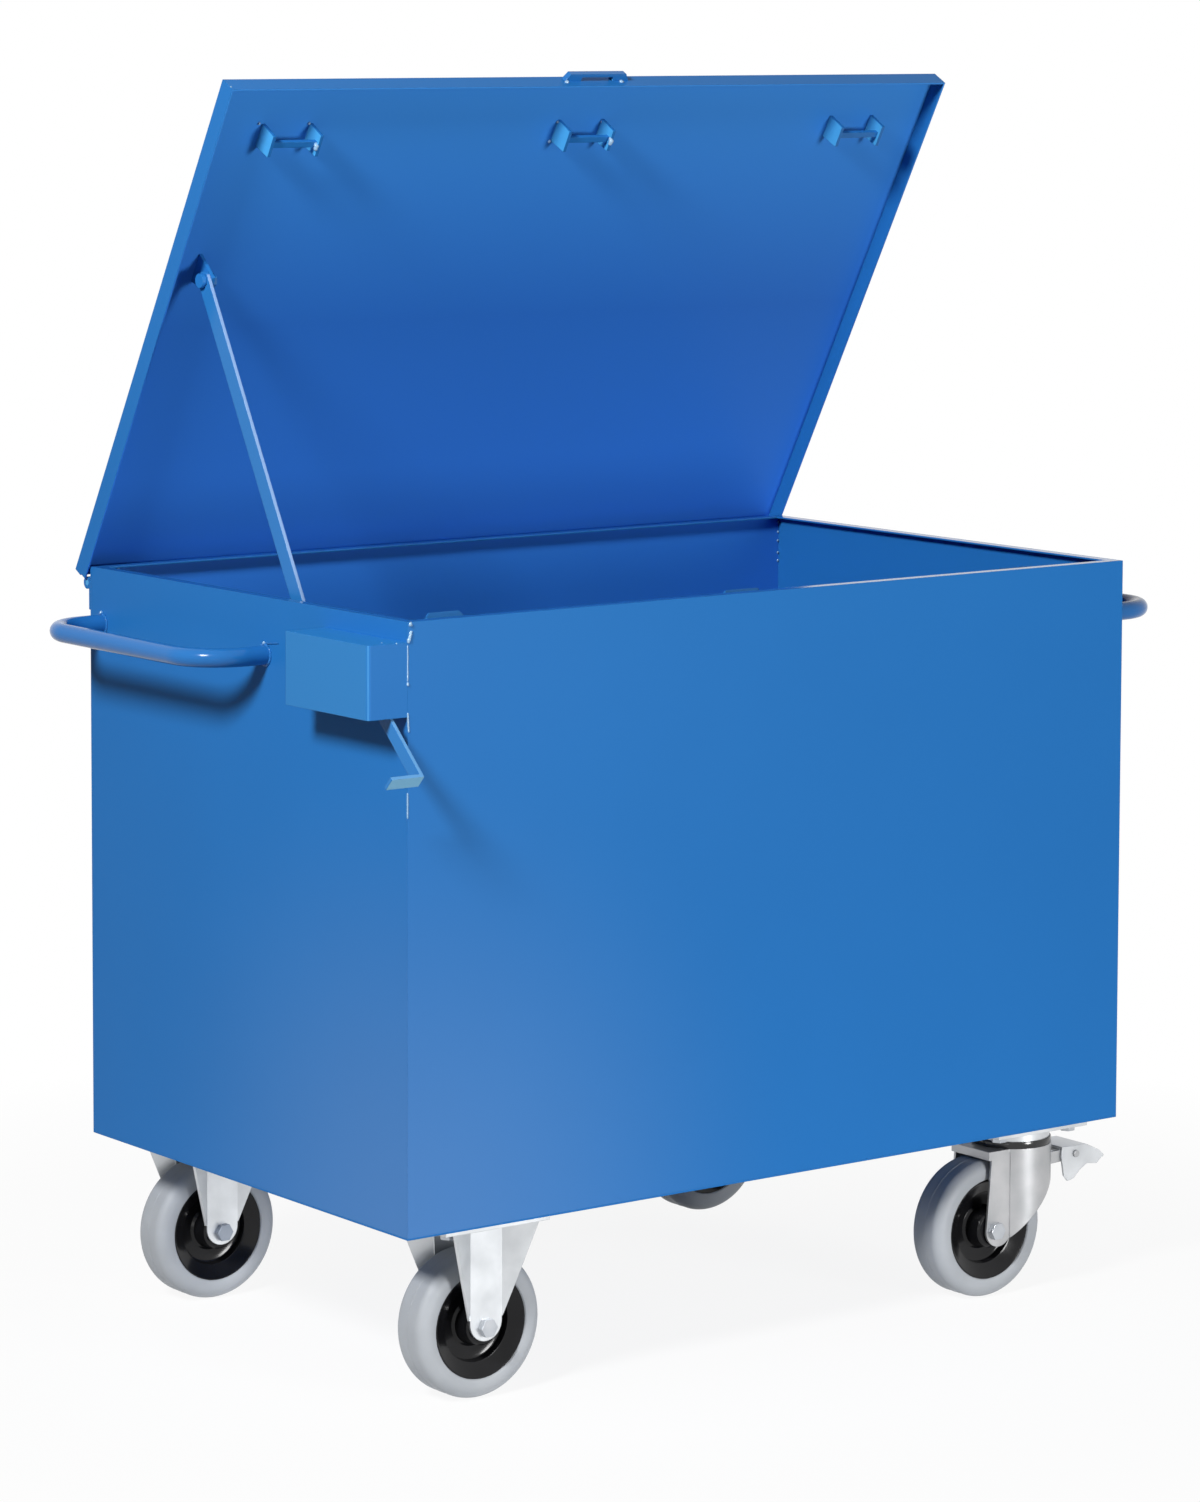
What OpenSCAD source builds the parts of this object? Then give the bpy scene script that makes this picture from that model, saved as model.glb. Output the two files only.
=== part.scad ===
// Lockable sheet-steel tool chest on two fixed and two swivel casters.
// Millimetres, +Z up, floor at z = 0, front facing -Y, left end at -X.
// The lid is drawn open, leaning forward on its slotted stay.

/* [Body] */
// Length of the body, left to right
body_l = 1000; // [980:5:1020]
// Depth of the body, front to back
body_d = 630; // [620:5:640]
// Height of the body from its underside to the rim
body_h = 650; // [640:5:660]
// Thickness of the body and lid sheet
sheet = 2; // [1.5:0.25:2]
// Width of the lip turned in all round the rim
lip_w = 12; // [8:0.5:12]

/* [Lid] */
// Angle the lid is drawn open from closed
lid_open = 60.8; // [58:0.1:63]
// Height of the lid's top face above the rim
lid_rise = 4; // [3.5:0.25:5]
// Depth of the lid's side and front flanges
lid_flange = 22; // [20:0.5:22]
// Distance the lid stands past the left end
lid_over_left = 4; // [4:0.5:8]
// Distance the lid stands past the right end
lid_over_right = 4; // [4:0.5:8]
// Distance the lid stands past the front
lid_over_front = 6; // [6:0.5:9]
// Distance the grab strip sits to the left of the body's middle
pull_shift = 8; // [0:1:15]
// Length of the grab strip on the lid's front flange
pull_l = 90; // [80:1:110]
// Length of the finger gap behind the grab strip
pull_slot_l = 44; // [36:1:54]

/* [Hinges] */
// Outside radius of the hinge barrels
barrel_r = 7; // [6.5:0.1:7]
// Radius of the hinge pins
hinge_pin_r = 3.3; // [3:0.1:3.6]
// Length of each hinge
hinge_l = 96; // [84:2:110]

/* [Stay] */
// Distance of the stay's upper bolt from the lid's rear edge
stay_bolt_s = 402; // [400:1:404]
// Depth of the stay's upper bolt below the lid's top face
stay_bolt_h = 29; // [28:0.5:31]
// Distance between the stay's upper bolt and its lower pin
stay_l = 415; // [410:1:418]
// Lean of the stay from upright
stay_lean = 28.8; // [28.3:0.1:29.3]
// Width of the stay bar
stay_w = 20; // [18:1:22]
// Thickness of the stay bar
stay_t = 4; // [3:0.5:4]
// Radius of the bolt and the pin of the stay
stay_pin_r = 5; // [4:0.5:6]

/* [Lock] */
// Depth of the lock shaft below the rim
lock_down = 56; // [55:0.5:57]
// Distance of the lock shaft behind the front face
lock_y = 62; // [61:0.5:63]
// Radius of the lock shaft
lock_shaft_r = 8; // [7:0.5:8]
// Turn of the lock shaft from free to latched
lock_turn = 22; // [20:1:22]
// Lean of the lever from upright when free
lever_lean = 46.8; // [46:0.1:46.8]
// Length of the lever from the shaft to its thumb tab
lever_l = 150; // [140:1:155]
// Width of the lever bar
lever_w = 16; // [15:1:18]
// Length of the lever's thumb tab
tab_l = 36; // [30:1:40]
// Distance from the body's left end to the middle of the left hook
hook_left_in = 96; // [90:1:110]
// Distance from the body's right end to the middle of the right hook
hook_right_in = 104; // [90:1:120]
// Width of each hook
hook_w = 48; // [44:1:48]
// Depth of the padlock shroud out from the left wall
shroud_out = 50; // [46:1:54]
// Length of the padlock shroud along the left wall
shroud_l = 153; // [145:1:160]
// Height of the padlock shroud
shroud_h = 78; // [76:1:78]
// Radius of the padlock hole in the lever and the staple
padlock_r = 4.5; // [3.5:0.25:4.75]

/* [Handles] */
// Outside radius of the handle tube
tube_r = 10.5; // [9.5:0.5:11]
// Distance of the grip's centre line out from the wall
grip_out = 80; // [75:1:90]
// Bend radius of the tube's centre line
bend_r = 55; // [45:1:60]
// Distance between the handle's two feet
grip_l = 336; // [320:1:350]
// Distance from a corner of the body to the nearer foot of each handle
grip_in = 25; // [18:1:35]
// Depth of the handle below the rim
grip_down = 62.5; // [60:0.5:75]

/* [Casters] */
// Overall height of each caster
caster_h = 195; // [195:1:200]
// Radius of the wheels
wheel_r = 80; // [78:0.5:80]
// Width of the tyres
tyre_w = 50; // [46:1:50]
// Radius of the rounded tyre shoulders
shoulder_r = 13; // [10:0.5:14]
// Radius at which the tyre meets the rim
seat_r = 58; // [55:0.5:60]
// Distance from the left end to the fixed wheels' axles
fixed_x = 117; // [110:1:125]
// Distance from the right end to the swivel axes
swivel_x = 112; // [110:1:125]
// Distance from the front and back faces to the wheels' middle
caster_y = 56; // [54:1:60]
// Distance of the swivel wheels' axles behind the swivel axis
trail = 53; // [50:1:55]
// Length of the caster plates
plate_l = 135; // [130:1:140]
// Width of the caster plates
plate_w = 110; // [106:1:112]
// Length between the plate's bolt holes
bolt_l = 105; // [102:1:108]
// Width between the plate's bolt holes
bolt_w = 75; // [72:1:78]

/* [Hidden] */
$fn = 64;

blue = [0.16, 0.44, 0.74];
zinc = [0.82, 0.84, 0.86];
rim_black = [0.1, 0.1, 0.11];
tyre_grey = [0.62, 0.65, 0.69];

run_fit = 0.05;
face_gap = 0.4;
poke = 1;

// Closed lid, in body coordinates: x from the left end, y from the front, z from the underside.
lid_top = body_h + lid_rise;
lid_under = lid_top - sheet;
lid_rear = body_d + 4;
lid_front = -lid_over_front;
hinge_y = body_d + barrel_r + 0.3;
hinge_z = lid_top - lid_flange - 1;
knuckle_gap = 0.5;
leaf_t = 3;

// Where a point of the closed lid goes when the lid is open.
function opened(y, z) = [
    hinge_y + (y - hinge_y) * cos(lid_open) + (z - hinge_z) * sin(lid_open),
    hinge_z - (y - hinge_y) * sin(lid_open) + (z - hinge_z) * cos(lid_open)
];

stay_closed_y = lid_rear - stay_bolt_s;
stay_closed_z = lid_top - stay_bolt_h;
stay_top = opened(stay_closed_y, stay_closed_z);
stay_dir = [-sin(stay_lean), -cos(stay_lean)];
stay_foot = stay_top + stay_l * stay_dir;
guide_mid = [hinge_y, hinge_z] + stay_l * stay_dir;
guide_r = norm([stay_closed_y - hinge_y, stay_closed_z - hinge_z]);
guide_start = atan2(stay_foot[1] - guide_mid[1], stay_foot[0] - guide_mid[0]);
guide_x = 14;
guide_t = 3;
guide_half = 16;
guide_wall = 3;
slot_half = stay_pin_r + face_gap;
stay_x = 28;
bracket_t = 4;

grip_back = body_d - grip_in;
grip_front = grip_back - grip_l;
grip_z = body_h - grip_down;
lock_z = body_h - lock_down;
lock_mid = [lock_y, lock_z];
lever_x = -20;
lever_t = 4;
hook_ends = [hook_left_in, body_l - hook_right_in];
hook_x = [hook_ends[0], (hook_ends[0] + hook_ends[1]) / 2, hook_ends[1]];
hook_tip = [53, 50, 48];
hook_t = 4;
keeper_t = 4;
keeper_slack = 5;
shroud_low = lock_z - 43;
padlock_s = 38;

// Lowest front corner of the lever and rearmost corner of the open lid set the depth of the whole.
lever_front = lock_y - lever_l * sin(lever_lean) - lever_w / 2 * cos(lever_lean);
lid_back = opened(lid_rear, lid_top)[0];
mid_y = (lever_front + lid_back) / 2;

axle_r = 6;
leg_in = 30;
leg_t = 3;
hub_half = leg_in - 0.5;
plate_t = 4;
plate_z = caster_h - plate_t;
bolt_r = 5;
hex_r = 9.2;
hex_h = 6.5;
crown_z = plate_z - 23;
crown_r = 46;
skirt_t = 3;
king_r = 7;
race_z = crown_z + 10;
pedal_pivot = [crown_r + 31, crown_z - 17];
pedal_pin_r = 4;

// Moves children from body coordinates to the part's frame.
module on_body() {
    translate([-body_l / 2, -mid_y, caster_h]) children();
}

// Moves children drawn on the closed lid to the open lid.
module on_lid() {
    on_body()
        translate([0, hinge_y, hinge_z])
            rotate([-lid_open, 0, 0])
                translate([0, -hinge_y, -hinge_z]) children();
}

// Extrudes a y-z outline from x0 to x1.
module along_x(x0, x1) {
    translate([x0, 0, 0])
        rotate([90, 0, 90])
            linear_extrude(x1 - x0) children();
}

// Round bar along x through a y-z point.
module bar_x(x0, x1, r, at) {
    translate([x0, at[0], at[1]])
        rotate([0, 90, 0]) cylinder(r = r, h = x1 - x0);
}

// Extrudes an x-z outline from y0 to y1.
module along_y(y0, y1) {
    translate([0, y1, 0])
        rotate([90, 0, 0])
            linear_extrude(y1 - y0) children();
}

// Round bar along y through an x-z point.
module bar_y(y0, y1, r, at) {
    translate([at[0], y1, at[1]])
        rotate([90, 0, 0]) cylinder(r = r, h = y1 - y0);
}

// Body

module front_panel() {
    color(blue) on_body()
        translate([0, 0, sheet]) cube([body_l, sheet, body_h - sheet]);
}

module back_panel() {
    color(blue) on_body()
        translate([0, body_d - sheet, sheet]) cube([body_l, sheet, body_h - sheet]);
}

module end_panel() {
    translate([0, sheet, sheet]) cube([sheet, body_d - 2 * sheet, body_h - sheet]);
}

module left_panel() {
    color(blue) on_body()
        difference() {
            end_panel();
            bar_x(-poke, sheet + poke, lock_shaft_r + 1, lock_mid);
        }
}

module right_panel() {
    color(blue) on_body()
        translate([body_l - sheet, 0, 0]) end_panel();
}

module floor_panel() {
    color(blue) on_body()
        difference() {
            cube([body_l, body_d, sheet]);
            for (x = [fixed_x, body_l - swivel_x])
                for (y = [caster_y, body_d - caster_y])
                    translate([x, y, 0]) plate_holes();
        }
}

module rim_lip() {
    inside = [body_l - 2 * sheet, body_d - 2 * sheet];
    color(blue) on_body()
        translate([sheet, sheet, body_h - sheet])
            linear_extrude(sheet)
                difference() {
                    square(inside);
                    translate([lip_w, lip_w]) square(inside - [2 * lip_w, 2 * lip_w]);
                }
}

module plate_holes() {
    for (x = [-bolt_l / 2, bolt_l / 2])
        for (y = [-bolt_w / 2, bolt_w / 2])
            translate([x, y, -plate_t - poke])
                cylinder(r = bolt_r + 0.25, h = plate_t + sheet + 2 * poke);
}

// Lid

module lid_pan() {
    pan_l = body_l + lid_over_left + lid_over_right;
    pan_d = lid_rear - lid_front;
    rear_flange = 12;
    color(blue) on_lid()
        translate([-lid_over_left, lid_front, 0]) {
            translate([0, 0, lid_under]) cube([pan_l, pan_d, sheet]);
            translate([0, 0, lid_top - lid_flange]) cube([pan_l, sheet, lid_flange - sheet]);
            for (x = [0, pan_l - sheet])
                translate([x, sheet, lid_top - lid_flange])
                    cube([sheet, pan_d - 2 * sheet, lid_flange - sheet]);
            translate([0, pan_d - sheet, lid_top - rear_flange])
                cube([pan_l, sheet, rear_flange - sheet]);
        }
}

module lid_pull() {
    proud = 9;
    gap = 5;
    strip_w = 7;
    below = 10.5;
    end_slant = 6;
    color(blue) on_lid()
        translate([body_l / 2 - pull_shift, lid_front, lid_top - below])
            linear_extrude(strip_w)
                polygon([
                    [-pull_l / 2, 0], [-pull_l / 2 + end_slant, -proud],
                    [pull_l / 2 - end_slant, -proud], [pull_l / 2, 0],
                    [pull_slot_l / 2, 0], [pull_slot_l / 2, -gap],
                    [-pull_slot_l / 2, -gap], [-pull_slot_l / 2, 0]
                ]);
}

// Flat plate outline with its two upper corners cut off.
module chamfered(l, h, c) {
    polygon([
        [-l / 2, -h / 2], [l / 2, -h / 2], [l / 2, h / 2 - c],
        [l / 2 - c, h / 2], [-l / 2 + c, h / 2], [-l / 2, h / 2 - c]
    ]);
}

// Two standing plates joined by the bar that a hook catches.
module keeper(x) {
    plate_l_y = 28;
    plate_h = 26;
    strike_w = 7;
    strike_t = 5;
    strike_z = lid_top - 22;
    inside = hook_w / 2 + keeper_slack;
    color(blue) on_lid()
        translate([x, lock_y + 1, 0]) {
            for (side = [-1, 1])
                translate([side * (inside + keeper_t / 2) - keeper_t / 2, 0, 0])
                    along_x(0, keeper_t)
                        polygon([
                            [-plate_l_y / 2, lid_under], [plate_l_y / 2, lid_under],
                            [plate_l_y / 2 - 1, lid_under - plate_h],
                            [-plate_l_y / 2 + 1, lid_under - plate_h]
                        ]);
            translate([-inside, -strike_w / 2, strike_z - strike_t / 2])
                cube([2 * inside, strike_w, strike_t]);
        }
}

module keeper_left() { keeper(hook_x[0]); }
module keeper_centre() { keeper(hook_x[1]); }
module keeper_right() { keeper(hook_x[2]); }

// Hinges: two knuckles on the body, one between them on the lid

hinge_x = [0, (body_l - hinge_l) / 2, body_l - hinge_l];
knuckle_l = (hinge_l - 2 * knuckle_gap) / 3;

module hinge_leaf(x) {
    leaf_h = 30;
    color(blue) on_body()
        translate([x, 0, 0])
            difference() {
                union() {
                    for (side = [0, 1]) {
                        step = side * 2 * (knuckle_l + knuckle_gap);
                        bar_x(step, step + knuckle_l, barrel_r, [hinge_y, hinge_z]);
                        translate([step, body_d, hinge_z - leaf_h])
                            cube([knuckle_l, leaf_t, leaf_h]);
                    }
                    translate([0, body_d, hinge_z - leaf_h])
                        cube([hinge_l, leaf_t, leaf_h - barrel_r - 2]);
                }
                bar_x(-poke, hinge_l + poke, hinge_pin_r, [hinge_y, hinge_z]);
            }
}

module hinge_leaf_left() { hinge_leaf(hinge_x[0]); }
module hinge_leaf_centre() { hinge_leaf(hinge_x[1]); }
module hinge_leaf_right() { hinge_leaf(hinge_x[2]); }

module lid_leaf(x) {
    color(blue) on_lid()
        translate([x + knuckle_l + knuckle_gap, 0, 0])
            difference() {
                union() {
                    bar_x(0, knuckle_l, barrel_r, [hinge_y, hinge_z]);
                    translate([0, lid_rear, hinge_z])
                        cube([knuckle_l, leaf_t, lid_top - hinge_z - sheet]);
                }
                bar_x(-poke, knuckle_l + poke, hinge_pin_r + run_fit, [hinge_y, hinge_z]);
            }
}

module lid_leaf_left() { lid_leaf(hinge_x[0]); }
module lid_leaf_centre() { lid_leaf(hinge_x[1]); }
module lid_leaf_right() { lid_leaf(hinge_x[2]); }

module hinge_pin(x) {
    color(zinc) on_body()
        bar_x(x, x + hinge_l, hinge_pin_r, [hinge_y, hinge_z]);
}

module hinge_pin_left() { hinge_pin(hinge_x[0]); }
module hinge_pin_centre() { hinge_pin(hinge_x[1]); }
module hinge_pin_right() { hinge_pin(hinge_x[2]); }

// Stay: a bar hung from the lid, its lower pin sliding in a curved guide on the left wall

module stay_bracket() {
    reach = 18;
    color(blue) on_lid()
        difference() {
            along_x(stay_x + stay_t + face_gap, stay_x + stay_t + face_gap + bracket_t)
                polygon([
                    [stay_closed_y - reach, lid_under], [stay_closed_y + reach, lid_under],
                    [stay_closed_y + 9, stay_closed_z - 9], [stay_closed_y - 9, stay_closed_z - 9]
                ]);
            bar_x(0, 2 * stay_x, stay_pin_r, [stay_closed_y, stay_closed_z]);
        }
}

module stay_bolt() {
    head_r = 8;
    head_t = 5;
    far = stay_x + stay_t + face_gap + bracket_t;
    at = [stay_closed_y, stay_closed_z];
    color(zinc) on_lid() {
        bar_x(stay_x - face_gap - head_t, stay_x - face_gap, head_r, at);
        bar_x(stay_x - face_gap, far + 6, stay_pin_r, at);
        translate([far, at[0], at[1]])
            rotate([0, 90, 0]) cylinder(r = 8.5, h = 5, $fn = 6);
    }
}

module stay_bar() {
    color(blue) on_body()
        translate([stay_x, stay_top[0], stay_top[1]])
            rotate([-stay_lean, 0, 0])
                difference() {
                    along_x(0, stay_t) {
                        circle(r = stay_w / 2);
                        translate([0, -stay_l]) circle(r = stay_w / 2);
                        translate([-stay_w / 2, -stay_l]) square([stay_w, stay_l]);
                    }
                    bar_x(-poke, stay_t + poke, stay_pin_r + run_fit, [0, 0]);
                    bar_x(-poke, stay_t + poke, stay_pin_r, [0, -stay_l]);
                }
}

module stay_pin() {
    head_r = 9;
    head_t = 3;
    color(zinc) on_body() {
        bar_x(guide_x - head_t - 1, stay_x + stay_t, stay_pin_r, stay_foot);
        bar_x(guide_x - head_t - 1, guide_x - 1, head_r, stay_foot);
    }
}

// Arc of a ring about the guide's centre, from angle a0 to a1.
module guide_arc(x0, x1, r0, r1, a0, a1) {
    far = 2 * guide_r;
    intersection() {
        difference() {
            bar_x(x0, x1, r1, guide_mid);
            bar_x(x0 - poke, x1 + poke, r0, guide_mid);
        }
        translate([0, guide_mid[0], guide_mid[1]])
            along_x(x0, x1)
                polygon([
                    [0, 0], [far * cos(a0), far * sin(a0)],
                    [far * cos((a0 + a1) / 2), far * sin((a0 + a1) / 2)],
                    [far * cos(a1), far * sin(a1)]
                ]);
    }
}

module stay_guide() {
    past = 2.2;
    a0 = guide_start - past;
    a1 = guide_start + lid_open + past;
    color(blue) on_body() {
        difference() {
            guide_arc(guide_x, guide_x + guide_t, guide_r - guide_half,
                guide_r + guide_half, a0, a1);
            guide_arc(guide_x - poke, guide_x + guide_t + poke, guide_r - slot_half,
                guide_r + slot_half, guide_start, guide_start + lid_open);
            for (a = [guide_start, guide_start + lid_open])
                bar_x(guide_x - poke, guide_x + guide_t + poke, slot_half,
                    guide_mid + guide_r * [cos(a), sin(a)]);
        }
        for (r = [guide_r - guide_half, guide_r + guide_half - guide_wall])
            guide_arc(sheet, guide_x, r, r + guide_wall, a0, a1);
    }
}

// Lock: a shaft along the front with three hooks, turned by a lever outside the left wall

module lock_shaft() {
    color(blue) on_body()
        bar_x(lever_x - 3, hook_x[2] + hook_w / 2 + 20, lock_shaft_r, lock_mid);
}

// Strip bent up behind the keeper's bar, forward over it and up again, drawn latched then freed.
module hook(x, lip_z) {
    web_y = 7;
    tip_y = -11;
    nose_z = 44;
    cut = max(1, lip_z - nose_z - hook_t);
    color(blue) on_body()
        translate([x - hook_w / 2, lock_y, lock_z])
            rotate([-lock_turn, 0, 0])
                difference() {
                    union() {
                        rotate([0, 90, 0]) cylinder(r = lock_shaft_r + 4, h = hook_w);
                        translate([0, web_y, 0]) cube([hook_w, hook_t, nose_z + hook_t]);
                        translate([0, tip_y, nose_z])
                            cube([hook_w, web_y - tip_y, hook_t]);
                        translate([hook_w / 2, 0, (nose_z + lip_z) / 2])
                            along_y(tip_y, tip_y + hook_t)
                                chamfered(hook_w, lip_z - nose_z, cut);
                    }
                    translate([-poke, 0, 0])
                        rotate([0, 90, 0]) cylinder(r = lock_shaft_r, h = hook_w + 2 * poke);
                }
}

module hook_left() { hook(hook_x[0], hook_tip[0]); }
module hook_centre() { hook(hook_x[1], hook_tip[1]); }
module hook_right() { hook(hook_x[2], hook_tip[2]); }

module lock_lever() {
    hub_r = 14;
    bend = lever_t;
    color(blue) on_body()
        difference() {
            translate([lever_x, lock_y, lock_z])
                rotate([-lever_lean, 0, 0])
                    difference() {
                        union() {
                            rotate([0, 90, 0]) cylinder(r = hub_r, h = lever_t);
                            translate([0, -lever_w / 2, -lever_l])
                                cube([lever_t, lever_w, lever_l]);
                            translate([-tab_l, -lever_w / 2, -lever_l])
                                cube([tab_l + poke, lever_w, bend]);
                        }
                        translate([-poke, 0, -padlock_s])
                            rotate([0, 90, 0])
                                cylinder(r = padlock_r, h = lever_t + 2 * poke);
                    }
            bar_x(lever_x - poke, lever_x + lever_t + poke, lock_shaft_r, lock_mid);
        }
}

module shaft_bearing(x) {
    boss_r = 14;
    foot_h = 46;
    t = 6;
    color(blue) on_body()
        difference() {
            union() {
                bar_x(x, x + t, boss_r, lock_mid);
                along_x(x, x + t)
                    polygon([
                        [sheet, lock_z - foot_h / 2], [lock_y, lock_z - boss_r],
                        [lock_y, lock_z + boss_r], [sheet, lock_z + foot_h / 2]
                    ]);
            }
            bar_x(x - poke, x + t + poke, lock_shaft_r + run_fit, lock_mid);
        }
}

bearing_step = hook_w / 2 + 14;
module shaft_bearing_left() { shaft_bearing(hook_x[0] + bearing_step); }
module shaft_bearing_centre() { shaft_bearing(hook_x[1] + bearing_step); }
module shaft_bearing_right() { shaft_bearing(hook_x[2] - bearing_step - 6); }

module padlock_shroud() {
    round_r = 4;
    color(blue) on_body()
        difference() {
            translate([-shroud_out, 0, shroud_low])
                union() {
                    translate([round_r, 0, 0])
                        cube([shroud_out - round_r, shroud_l, shroud_h]);
                    translate([0, round_r, 0])
                        cube([round_r + poke, shroud_l - round_r, shroud_h]);
                    translate([round_r, round_r, 0]) cylinder(r = round_r, h = shroud_h);
                }
            translate([-shroud_out + sheet, sheet, shroud_low - poke])
                cube([shroud_out, shroud_l - 2 * sheet, shroud_h - sheet + poke]);
        }
}

// Where the lever's padlock hole stands when latched.
latched_hole = lock_mid - padlock_s * [sin(lever_lean - lock_turn), cos(lever_lean - lock_turn)];

module padlock_staple() {
    t = 3;
    high = 24;
    half = 10;
    below = 8;
    x = lever_x + lever_t + 2;
    color(blue) on_body()
        difference() {
            translate([0, latched_hole[0] - half, latched_hole[1] - below]) {
                translate([x, 0, 0]) cube([t, 2 * half, high]);
                translate([x, 0, high - t]) cube([-x, 2 * half, t]);
            }
            bar_x(x - poke, x + t + poke, padlock_r, latched_hole);
        }
}

// Handles: a tube bent round twice and welded to the end wall by its ends

module handle() {
    straight = grip_back - grip_front - 2 * bend_r;
    translate([0, 0, grip_z]) {
        for (foot = [[grip_front, -1], [grip_back, 1]])
            translate([0, foot[0], 0])
                rotate([0, -90, 0]) cylinder(r = tube_r, h = grip_out - bend_r);
        translate([-grip_out, grip_front + bend_r, 0])
            rotate([-90, 0, 0]) cylinder(r = tube_r, h = straight);
        translate([-grip_out + bend_r, grip_front + bend_r, 0])
            rotate([0, 0, 180]) rotate_extrude(angle = 90)
                translate([bend_r, 0]) circle(r = tube_r);
        translate([-grip_out + bend_r, grip_back - bend_r, 0])
            rotate([0, 0, 90]) rotate_extrude(angle = 90)
                translate([bend_r, 0]) circle(r = tube_r);
    }
}

module handle_left() {
    color(blue) on_body() handle();
}

module handle_right() {
    color(blue) on_body() translate([body_l, body_d, 0]) rotate([0, 0, 180]) handle();
}

// Caster bolts: hex head under the caster plate, hex nut on the chest floor

module plate_bolts(x) {
    color(zinc) on_body()
        for (y = [caster_y, body_d - caster_y])
            for (dx = [-bolt_l / 2, bolt_l / 2])
                for (dy = [-bolt_w / 2, bolt_w / 2])
                    translate([x + dx, y + dy, 0]) {
                        translate([0, 0, -plate_t - hex_h]) cylinder(r = hex_r, h = hex_h, $fn = 6);
                        translate([0, 0, -plate_t]) cylinder(r = bolt_r, h = plate_t + sheet + 11);
                        translate([0, 0, sheet]) cylinder(r = hex_r, h = 8, $fn = 6);
                    }
}

module fixed_caster_bolts() { plate_bolts(fixed_x); }
module swivel_caster_bolts() { plate_bolts(body_l - swivel_x); }

// Casters, drawn about the middle of the wheel or the swivel axis, on the floor

module at_caster(x, back) {
    translate([x - body_l / 2, (back ? body_d - caster_y : caster_y) - mid_y, 0]) children();
}

module caster_plate() {
    translate([-plate_l / 2, -plate_w / 2, plate_z]) cube([plate_l, plate_w, plate_t]);
}

// Side of the fixed fork: an upright rib with two flared wings.
module fork_side() {
    rib_half = 24;
    foot_r = 20.5;
    foot_z = wheel_r + 5.5;
    wing_w = 40;
    wing_mid = 20;
    wing_knee = 53;
    wing_low = foot_z + 4;
    flare = 31;
    along_y(-leg_in - leg_t, -leg_in) {
        translate([0, foot_z]) circle(r = foot_r);
        polygon([
            [-foot_r, foot_z], [foot_r, foot_z],
            [rib_half, plate_z], [-rib_half, plate_z]
        ]);
    }
    for (side = [0, 1])
        mirror([side, 0, 0])
            translate([foot_r, -leg_in - leg_t, 0])
                rotate([0, 0, -flare])
                    along_y(0, leg_t)
                        polygon([
                            [-1, wing_low], [1, wing_low], [wing_mid, plate_z - wing_knee],
                            [wing_w, plate_z], [0, plate_z]
                        ]);
}

module fixed_fork(back) {
    color(zinc) at_caster(fixed_x, back)
        difference() {
            union() {
                caster_plate();
                fork_side();
                mirror([0, 1, 0]) fork_side();
            }
            translate([0, 0, caster_h]) plate_holes();
            bar_y(-2 * leg_in, 2 * leg_in, axle_r, [0, wheel_r]);
        }
}

module fork_front_left() { fixed_fork(false); }
module fork_back_left() { fixed_fork(true); }

module axle() {
    out = leg_in + leg_t;
    bar_y(-out, out + 9, axle_r, [0, wheel_r]);
    for (y = [-out - 7, out])
        translate([0, y + 7, wheel_r])
            rotate([90, 0, 0]) cylinder(r = 10.4, h = 7, $fn = 6);
}

module axle_front_left() { color(zinc) at_caster(fixed_x, false) axle(); }
module axle_back_left() { color(zinc) at_caster(fixed_x, true) axle(); }
module axle_front_right() {
    color(zinc) at_caster(body_l - swivel_x, false) translate([-trail, 0, 0]) axle();
}
module axle_back_right() {
    color(zinc) at_caster(body_l - swivel_x, true) translate([-trail, 0, 0]) axle();
}

// Turns a radius-width outline about the axle.
module wheel_turned() {
    translate([0, 0, wheel_r])
        rotate([90, 0, 0]) rotate_extrude() children();
}

module rim() {
    hub_r = 21;
    step_r = 38;
    dish_r = seat_r - 6;
    wheel_turned()
        difference() {
            union() {
                translate([0, -hub_half]) square([hub_r, 2 * hub_half]);
                translate([0, -11]) square([step_r, 22]);
                translate([0, -6]) square([seat_r, 12]);
                translate([dish_r, -tyre_w / 2 + 2]) square([seat_r - dish_r, tyre_w - 4]);
            }
            translate([0, -hub_half - poke]) square([axle_r + run_fit, 2 * hub_half + 2 * poke]);
        }
}

module tyre() {
    half = tyre_w / 2;
    wheel_turned()
        difference() {
            union() {
                translate([seat_r, -half])
                    square([wheel_r - shoulder_r - seat_r, tyre_w]);
                translate([seat_r, -half + shoulder_r])
                    square([wheel_r - seat_r, tyre_w - 2 * shoulder_r]);
                for (y = [-half + shoulder_r, half - shoulder_r])
                    translate([wheel_r - shoulder_r, y]) circle(r = shoulder_r);
            }
            translate([0, -half]) square([seat_r, tyre_w]);
        }
}

module rim_front_left() { color(rim_black) at_caster(fixed_x, false) rim(); }
module rim_back_left() { color(rim_black) at_caster(fixed_x, true) rim(); }
module tyre_front_left() { color(tyre_grey) at_caster(fixed_x, false) tyre(); }
module tyre_back_left() { color(tyre_grey) at_caster(fixed_x, true) tyre(); }
module rim_front_right() {
    color(rim_black) at_caster(body_l - swivel_x, false) translate([-trail, 0, 0]) rim();
}
module rim_back_right() {
    color(rim_black) at_caster(body_l - swivel_x, true) translate([-trail, 0, 0]) rim();
}
module tyre_front_right() {
    color(tyre_grey) at_caster(body_l - swivel_x, false) translate([-trail, 0, 0]) tyre();
}
module tyre_back_right() {
    color(tyre_grey) at_caster(body_l - swivel_x, true) translate([-trail, 0, 0]) tyre();
}

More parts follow.
